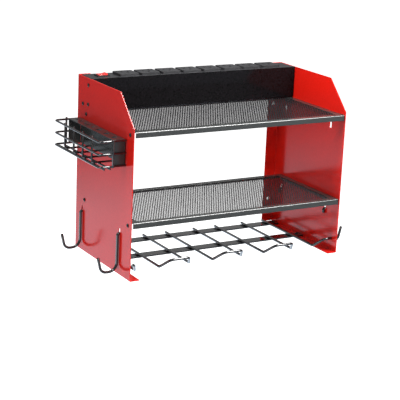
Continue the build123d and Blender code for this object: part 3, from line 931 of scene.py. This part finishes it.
# Sheet tool rack inside the basket.
TOOL_RACK_SHEET = 1.2
TOOL_RACK_BEND = 1.6
TOOL_RACK_CORNERS = (4, 0.8, 0, 0.8, 0.8, 0, 0.8, 4)
TOOL_RACK_GAP = 0.4
# Width, height of the neck, thickness of the hooked end and its drop.
TAB = (4.0, 3.6, 1.6, 6.0)
TAB_CORNERS = (0, 0.4, 0.5, 0.5, 1.2, 0)
TAB_OVERLAP = 0.6
TAB_PLAY = 0.4
# Number and radius of the holes, and the share of the row that the wide ones take.
WIDE_HOLES = (3, 5.0)
SMALL_HOLES = (5, 3.4)
WIDE_SHARE = 0.53
HOLE_MARGIN = 4.0


def add_tool_rack():
    """Tool rack in place of its node: a top with round holes, a back on the panel and two ends."""
    low, high = basket_low, basket_high
    wall = -panel_outer - TOOL_RACK_GAP
    out = low.x
    flat = ((out, wall - TOOL_RACK_BEND), (low.y + TOOL_RACK_BEND, high.y - TOOL_RACK_BEND))
    (_, back), (near, far) = flat
    reach = flap(high.z - low.z, TOOL_RACK_BEND)
    back_edge, near_edge, far_edge = back + reach, near - reach, far + reach
    corners = [
        (out, near_edge), (back, near_edge), (back, near), (back_edge, near),
        (back_edge, far), (back, far), (back, far_edge), (out, far_edge),
    ]
    outline = rounded_path(corners, TOOL_RACK_CORNERS, closed=True)
    row = (out + wall - TOOL_RACK_SHEET) / 2
    start = low.y + HOLE_MARGIN
    length = high.y - HOLE_MARGIN - start
    holes = []
    for (count, radius), first, share in (
        (WIDE_HOLES, 0.0, WIDE_SHARE),
        (SMALL_HOLES, WIDE_SHARE, 1 - WIDE_SHARE),
    ):
        rows = [start + length * (first + share * (k + 0.5) / count) for k in range(count)]
        holes += [ring(row, y, radius) for y in rows]
    looks = dict(material=shelf_paint, slot="shelf_steel", bevel=0.2, body="side_basket")
    sheet_piece(
        "tool_rack_sheet", outline, holes, TOOL_RACK_SHEET, seen_from_above(high.z),
        flat=flat, bend=TOOL_RACK_BEND, replaces=["tool_rack"], **looks,
    )
    width, neck, thick, drop = TAB
    inner = high.x
    root = wall - TAB_OVERLAP
    # The neck rests in the round lower end of its slot.
    round_end, half = SLOT[0] / 2, width / 2 + TAB_PLAY
    low_edge = upper_slot - SLOT[1] / 2 + round_end - math.sqrt(round_end**2 - half**2)
    profile = [
        (root, low_edge), (inner - thick, low_edge), (inner - thick, low_edge - drop),
        (inner, low_edge - drop), (inner, low_edge + neck), (root, low_edge + neck),
    ]
    outline = rounded_path(profile, TAB_CORNERS, closed=True)
    for name, y in zip(("front", "rear"), slot_rows):
        place = seen_from_front(y - width / 2)
        sheet_piece(f"tool_rack_tab_{name}", outline, [], width, place, **looks)


add_tool_rack()

# Radius of the weld beads, how far beside a wire they lie and how far above a bar.
BASKET_BEAD = (1.5, 1.6)
RACK_BEAD = (2.0, 2.0)
BEAD_RISE = 0.9
BEAD_FLATNESS = 0.8


def weld_mesh(name, radius):
    """Small bead of weld metal, low and round."""
    turns = [k / 2 for k in range(-3, 4)]
    tall = radius * BEAD_FLATNESS
    rings = [(radius * math.cos(t), tall * math.sin(t), 0) for t in turns]
    return turned_mesh(name, rings, sides=12)


def add_welds():
    """Beads where the wires of the basket and of the wire rack cross what carries them."""
    radius, aside = BASKET_BEAD
    bead = weld_mesh("weld_bead", radius)
    places = []
    for out, y in rib_spots:
        for beside in (y + aside, y - aside):
            spots = [(out - BASKET_WIRE, beside, z) for z in hoop_levels]
            places += [facing(s, (1, 0, 0)) for s in spots]
    for (x, y), outward in end_ribs:
        for beside in (x - aside, x + aside):
            spots = [(beside, y - outward * BASKET_WIRE, z) for z in hoop_levels]
            places += [facing(s, (0, outward, 0)) for s in spots]
    put_copies("basket_weld", bead, places, wire_paint, "wire_steel", body="side_basket")
    radius, aside = RACK_BEAD
    wide = weld_mesh("rack_weld_bead", radius)
    middles = [sum(corner.x for corner in span(node)) / 2 for node in rack_loops]
    end_rod = span("rack_end_right")[0].x + RACK_WIRE
    rods = [x + side * LOOP_HALF for x in middles for side in (-1, 1)] + [-end_rod, end_rod]
    z = span("rack_bar_front")[1].z + BEAD_RISE
    spots = [(x + side * aside, y, z) for x in rods for y in bar_rows for side in (-1, 1)]
    places = [facing(s, (0, 0, 1)) for s in spots]
    put_copies("rack_weld", wide, places, wire_paint, "wire_steel")


add_welds()

# Screws and nuts: radius and height of a head, radius of a shank, and lengths under the head.
SCREW = (3.4, 1.9, 1.95)
FOOT_SCREW = (2.9, 1.6, 1.6)
PANEL_SCREW_LENGTH = 6.4
APRON_SCREW_LENGTH = 3.4
BAR_SCREW_LENGTH = 4.0
FOOT_SCREW_LENGTH = 6.0
# Half the width across flats, height and bore radius.
NUT = (3.5, 2.4, 1.9)
NUT_GAP = 0.3


def screw_mesh(name, sizes, length):
    """Button head screw: a domed head with a hexagon socket on a plain shank along -Z."""
    radius, height, shank = sizes
    rings = [(shank * 0.8, -length, 0), (shank, -length + 0.5, 0), (shank, 0, 0), (radius, 0, 0)]
    for turn in (0, 0.3, 0.6, 0.9, 1.1):
        rings.append((radius * math.cos(turn), height * (0.25 + 0.75 * math.sin(turn)), 0))
    socket = [(1.25, height * 0.96, 6), (1.2, height * 0.25, 6), (0.2, height * 0.2, 0)]
    return turned_mesh(name, rings + socket)


def nut_mesh(name, flat_radius, height, bore):
    """Hexagon nut from Z = 0 up, chamfered at both faces."""
    face = flat_radius * 0.97
    rings = [
        (bore, 0.3, 0), (face, 0, 0), (flat_radius, 0.35, 6), (flat_radius, height - 0.35, 6),
        (face, height, 0), (bore, height - 0.3, 0), (bore, 0.3, 0),
    ]
    return turned_mesh(name, rings)


def side_places(x, spots):
    """Places on the outside of both panels, pointing outward."""
    return [facing((side * x, y, z), (side, 0, 0)) for side in (-1, 1) for y, z in spots]


def add_fasteners():
    """Screws through the panels, with nuts inside, and those of the strip and the rack."""
    spots = shelf_screw_spots + [bracket_screw_spot]
    screw = screw_mesh("panel_screw", SCREW, PANEL_SCREW_LENGTH)
    put_copies("panel_screw", screw, side_places(panel_outer, spots), screw_black, "black_screw")
    screw = screw_mesh("apron_screw", SCREW, APRON_SCREW_LENGTH)
    places = side_places(panel_outer, apron_screw_spots)
    put_copies("apron_screw", screw, places, screw_black, "black_screw")
    inner = panel_outer - PANEL_SHEET - NUT_GAP
    depths = [SHELF_SHEET] * len(shelf_screw_spots) + [BRACKET_SHEET]
    places = []
    for side in (-1, 1):
        for (y, z), depth in zip(spots, depths):
            places.append(facing((side * (inner - depth), y, z), (-side, 0, 0)))
    put_copies("panel_nut", nut_mesh("panel_nut", *NUT), places, zinc, "zinc")
    top = span("rack_bar_front")[1].z
    screw = screw_mesh("bar_screw", SCREW, BAR_SCREW_LENGTH)
    spots = [(side * bar_screw_out, y, top) for side in (-1, 1) for y in bar_rows]
    places = [facing(s, (0, 0, 1)) for s in spots]
    put_copies("bar_screw", screw, places, screw_black, "black_screw")
    under = span("strip_bracket_left")[1].z - BRACKET_SHEET
    screw = screw_mesh("foot_screw", FOOT_SCREW, FOOT_SCREW_LENGTH)
    spots = [(side * FOOT_SCREW_OUT, bracket_screw_spot[0], under) for side in (-1, 1)]
    put_copies("foot_screw", screw, [facing(s, (0, 0, -1)) for s in spots], zinc, "zinc")


add_fasteners()

# Power strip: cover with windows, outlets, switch and gland. The housing keeps its CAD shape.
strip_low, strip_high = span("strip_housing")
strip_row = (strip_low.y + strip_high.y) / 2
OUTLET_COUNT = 8
outlets = [f"outlet_{number}" for number in range(1, OUTLET_COUNT + 1)]
cover_top = span("strip_cover")[1].z
COVER_SHEET = 3.0
COVER_CORNER = 3.0
WINDOW_GAP = 0.6
WINDOW_CORNER = 3.2
# An outlet's raised face: how much narrower than its node, depth, height and corner radius.
FACE_INSET = 2.2
FACE_DEPTH = 33.6
FACE_HEIGHT = 9.0
FACE_CORNER = 3.0
BLADE_SPOT = (6.35, 5.0)
BLADE_SLOT = (2.2, 8.5)
EARTH_DROP = 6.9
EARTH_HOLE = 2.6
# The switch's place along the strip, its body's width and depth, and other sizes.
SWITCH = (-181.0, 21.6, 15.0)
SWITCH_OPENING = (19.2, 12.0)
SWITCH_RIM = 2.0
SWITCH_HEIGHT = 14.0


def outlet_face(node):
    """Middle, width and top of an outlet's raised face."""
    low, high = span(node)
    wide = high.x - low.x - FACE_INSET
    return (low.x + high.x) / 2, wide, high.z


def add_cover():
    """Cover in place of its node, with a window for each outlet and one for the switch."""
    low, high = span("strip_cover")
    deep = high.y - low.y
    outline = rectangle(0, strip_row, 2 * high.x, deep, COVER_CORNER)
    windows = []
    for node in outlets:
        x, wide, _ = outlet_face(node)
        sizes = (wide + WINDOW_GAP, FACE_DEPTH + WINDOW_GAP)
        windows.append(rectangle(x, strip_row, *sizes, WINDOW_CORNER))
    x, wide, deep = SWITCH
    sizes = (wide + WINDOW_GAP, deep + WINDOW_GAP)
    windows.append(rectangle(x, strip_row, *sizes, corner=0.5))
    sheet_piece(
        "strip_cover_plate", outline, windows, COVER_SHEET, seen_from_above(cover_top),
        cover_plastic, "grey_plastic", bevel=0.7, replaces=["strip_cover"],
    )


def add_outlet(node):
    """Outlet in place of its node: a raised face with two blade slots and a round earth hole."""
    x, wide, top = outlet_face(node)
    outline = rectangle(x, strip_row, wide, FACE_DEPTH, FACE_CORNER)
    out, back = BLADE_SPOT
    holes = [rectangle(x + s * out, strip_row + back, *BLADE_SLOT, corner=0.4) for s in (-1, 1)]
    holes.append(ring(x, strip_row - EARTH_DROP, EARTH_HOLE))
    sheet_piece(
        f"{node}_face", outline, holes, FACE_HEIGHT, seen_from_above(top),
        outlet_plastic, "outlet_plastic", bevel=0.6, replaces=[node],
    )


def add_switch():
    """Switch frame in place of its node: a rim on the cover and a body that goes through it."""
    low, high = span("switch_frame")
    x, wide, deep = SWITCH
    opening = rectangle(x, strip_row, *SWITCH_OPENING, corner=0.4)
    sizes = (high.x - low.x, high.y - low.y)
    outline = rectangle(x, strip_row, *sizes, corner=1.2)
    sheet_piece(
        "switch_frame_rim", outline, [opening], SWITCH_RIM, seen_from_above(high.z),
        frame_plastic, "black_plastic", bevel=0.5, replaces=["switch_frame"],
    )
    outline = rectangle(x, strip_row, wide, deep, corner=0.8)
    sheet_piece(
        "switch_frame_body", outline, [opening], SWITCH_HEIGHT, seen_from_above(cover_top),
        frame_plastic, "black_plastic", bevel=0.3,
    )


def add_rocker():
    """Rocker in place of its node: ends that are arcs about the pivot and a hollow on top."""
    radius = 9.2
    half_depth = 5.7
    tilt = math.radians(7)
    rise, valley, drop = 4.4, 3.4, 4.6
    top_turn = math.asin(rise / radius)
    low_turn = -math.asin(drop / radius)
    steps = 10
    turns = [low_turn + (top_turn - low_turn) * k / steps for k in range(steps + 1)]
    right_end = [(radius * math.cos(t), radius * math.sin(t)) for t in turns]
    left_end = [(-u, v) for u, v in reversed(right_end)]
    top = []
    steps = 6
    for k in range(1, 2 * steps):
        share = 1 - k / steps
        top.append((right_end[-1][0] * share, valley + (rise - valley) * share * share))
    outline = [Vector((u, v, 0)) for u, v in right_end + top + left_end]
    along = (math.cos(tilt), 0, math.sin(tilt))
    across = (-math.sin(tilt), 0, math.cos(tilt))
    place = axes(along, across, (0, -1, 0), (SWITCH[0], strip_row - half_depth, cover_top))
    sheet_piece(
        "rocker_cap", outline, [], 2 * half_depth, place,
        rocker_plastic, "red_plastic", bevel=0.5, body="rocker", replaces=["rocker"],
    )


def add_gland():
    """Cord gland in place of its node: a collar and a ribbed neck with an open bore."""
    low, high = span("cord_gland")
    start = low.x
    end = high.x
    bore = 3.6
    rings = [(bore, start, 0), (7.5, start, 0)]
    for radius, out in ((7.5, 0), (9.2, 0), (9.6, 0.5), (9.6, 1.9), (9.0, 2.4), (6.3, 2.5)):
        rings.append((radius, panel_outer + out, 0))
    ribs = 5
    first = panel_outer + 3.4
    pitch = (end - 1.0 - first) / ribs
    for k in range(ribs):
        radius = 6.2 - 1.2 * k / ribs
        x = first + pitch * k
        rings += [(radius, x, 0), (radius, x + pitch * 0.55, 0)]
        rings += [(radius - 0.9, x + pitch * 0.65, 0), (radius - 0.9, x + pitch * 0.9, 0)]
    rings += [(5.0, end - 0.8, 0), (4.8, end, 0), (bore, end, 0), (bore, start, 0)]
    mesh = turned_mesh("cord_gland_body", rings, sides=40)
    link_piece(
        "cord_gland_body", mesh, housing_plastic, "black_plastic", replaces=["cord_gland"],
        place=facing((0, strip_row, gland_spot[1]), (1, 0, 0)),
    )


add_cover()
for outlet_name in outlets:
    add_outlet(outlet_name)
add_switch()
add_rocker()
add_gland()


def dress_node(node, material):
    """CAD node that keeps its shape and gets a material."""
    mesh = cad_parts[node].data
    mesh.materials.clear()
    mesh.materials.append(material)


dress_node("strip_housing", housing_plastic)
for number in (1, 2, 3):
    dress_node(f"bus_bar_{number}", brass)

# Floor: half its side in metres, its depth below the panels in millimetres, and its looks.
FLOOR_HALF = 12.0
FLOOR_DROP = 330.0
FLOOR_WHITE = (0.93, 0.93, 0.93, 1)
WHITE = (1, 1, 1, 1)
FLOOR_GLOW = 0.8
# How bright the floor is in reflections, by its distance behind the wall in metres.
FLOOR_SHEEN = ((-0.6, 0.4), (0.3, 1.0), (1.2, 1.0), (2.1, 0.12))
SHEEN_TINT = (0.78, 0.88, 1.0)
SHEEN_STRENGTH = 1.45
WORLD_LIGHT = 0.3


def add_sheen(tree, sheen):
    """Colour of the floor in reflections: bright close behind the wall, dim farther out."""
    place = tree.nodes.new("ShaderNodeNewGeometry")
    parts = tree.nodes.new("ShaderNodeSeparateXYZ")
    share = tree.nodes.new("ShaderNodeMapRange")
    ramp = tree.nodes.new("ShaderNodeValToRGB")
    first, last = FLOOR_SHEEN[0][0], FLOOR_SHEEN[-1][0]
    set_inputs(share, {"From Min": first, "From Max": last})
    elements = ramp.color_ramp.elements
    while len(elements) < len(FLOOR_SHEEN):
        elements.new(0.5)
    for element, (distance, level) in zip(elements, FLOOR_SHEEN):
        element.position = (distance - first) / (last - first)
        element.color = (*[level * tint for tint in SHEEN_TINT], 1)
    join(place, "Position", parts, "Vector")
    join(parts, "Y", share, "Value")
    join(share, "Result", ramp, "Fac")
    join(ramp, "Color", sheen, "Color")


def add_floor():
    """Pale floor well below the object, white to the camera but for the object's shadow."""
    mesh = bpy.data.meshes.new("floor")
    level = (floor_level - FLOOR_DROP) * MM
    corners = [(*spot[:2], level) for spot in rectangle(0, 0, 2 * FLOOR_HALF, 2 * FLOOR_HALF)]
    mesh.from_pydata(corners, [], [(0, 1, 2, 3)])
    material = bpy.data.materials.new("pale_floor")
    material.use_nodes = True
    tree = material.node_tree
    out = tree.nodes["Material Output"]
    shader = tree.nodes["Principled BSDF"]
    set_inputs(shader, {"Base Color": FLOOR_WHITE, "Roughness": 0.9, "Emission Color": WHITE})
    path = tree.nodes.new("ShaderNodeLightPath")
    seen = tree.nodes.new("ShaderNodeMath")
    seen.operation = "MULTIPLY"
    seen.inputs[1].default_value = FLOOR_GLOW
    join(path, "Is Camera Ray", seen, 0)
    join(seen, "Value", shader, "Emission Strength")
    sheen = tree.nodes.new("ShaderNodeEmission")
    set_inputs(sheen, {"Strength": SHEEN_STRENGTH})
    add_sheen(tree, sheen)
    mix = tree.nodes.new("ShaderNodeMixShader")
    join(path, "Is Glossy Ray", mix, "Fac")
    join(shader, "BSDF", mix, 1)
    join(sheen, "Emission", mix, 2)
    join(mix, "Shader", out, "Surface")
    mesh.materials.append(material)
    floor = bpy.data.objects.new("floor", mesh)
    bpy.context.scene.collection.objects.link(floor)


def add_world():
    """White to the camera, a softer grey as light and in reflections."""
    world = bpy.data.worlds.new("studio")
    bpy.context.scene.world = world
    world.use_nodes = True
    tree = world.node_tree
    tree.nodes.clear()
    out = tree.nodes.new("ShaderNodeOutputWorld")
    mix = tree.nodes.new("ShaderNodeMixShader")
    light = tree.nodes.new("ShaderNodeBackground")
    seen = tree.nodes.new("ShaderNodeBackground")
    path = tree.nodes.new("ShaderNodeLightPath")
    set_inputs(light, {"Color": WHITE, "Strength": WORLD_LIGHT})
    set_inputs(seen, {"Color": WHITE, "Strength": 1.0})
    join(path, "Is Camera Ray", mix, "Fac")
    join(light, "Background", mix, 1)
    join(seen, "Background", mix, 2)
    join(mix, "Shader", out, "Surface")


def add_lamp(name, spot, target, size, power, lights=True):
    """Soft box that faces a target; one that does not light shows in reflections only.

    Spot, target and size are in metres, power is in watts.
    """
    data = bpy.data.lights.new(name, "AREA")
    data.shape = "RECTANGLE"
    data.size, data.size_y = size
    data.energy = power
    lamp = bpy.data.objects.new(name, data)
    bpy.context.scene.collection.objects.link(lamp)
    lamp.visible_diffuse = lights
    turn = (Vector(spot) - Vector(target)).to_track_quat("Z", "Y")
    lamp.matrix_world = Matrix.Translation(spot) @ turn.to_matrix().to_4x4()


add_floor()
add_world()
add_lamp("key", (0.7, -0.95, 1.3), (0, -0.1, 0.05), (0.7, 1.1), 42)
add_lamp("streak", (0.8, -1.08, 1.26), (0, -0.1, 0.05), (0.74, 0.85), 50, lights=False)
add_lamp("side", (-0.6, -0.35, 0.85), (-0.1, -0.1, 0.1), (0.3, 0.3), 5.2)
add_lamp("low", (-0.75, -0.3, -0.3), (-0.2, -0.1, -0.12), (0.3, 0.3), 0.9)
add_lamp("front", (0.3, -2.4, 0.6), (0, -0.1, 0), (1.2, 1.2), 8)
add_lamp("top", (-0.02, -0.22, 0.43), (0.21, -0.08, 0.12), (0.25, 0.25), 1.9)

bpy.context.scene.view_settings.view_transform = "Standard"
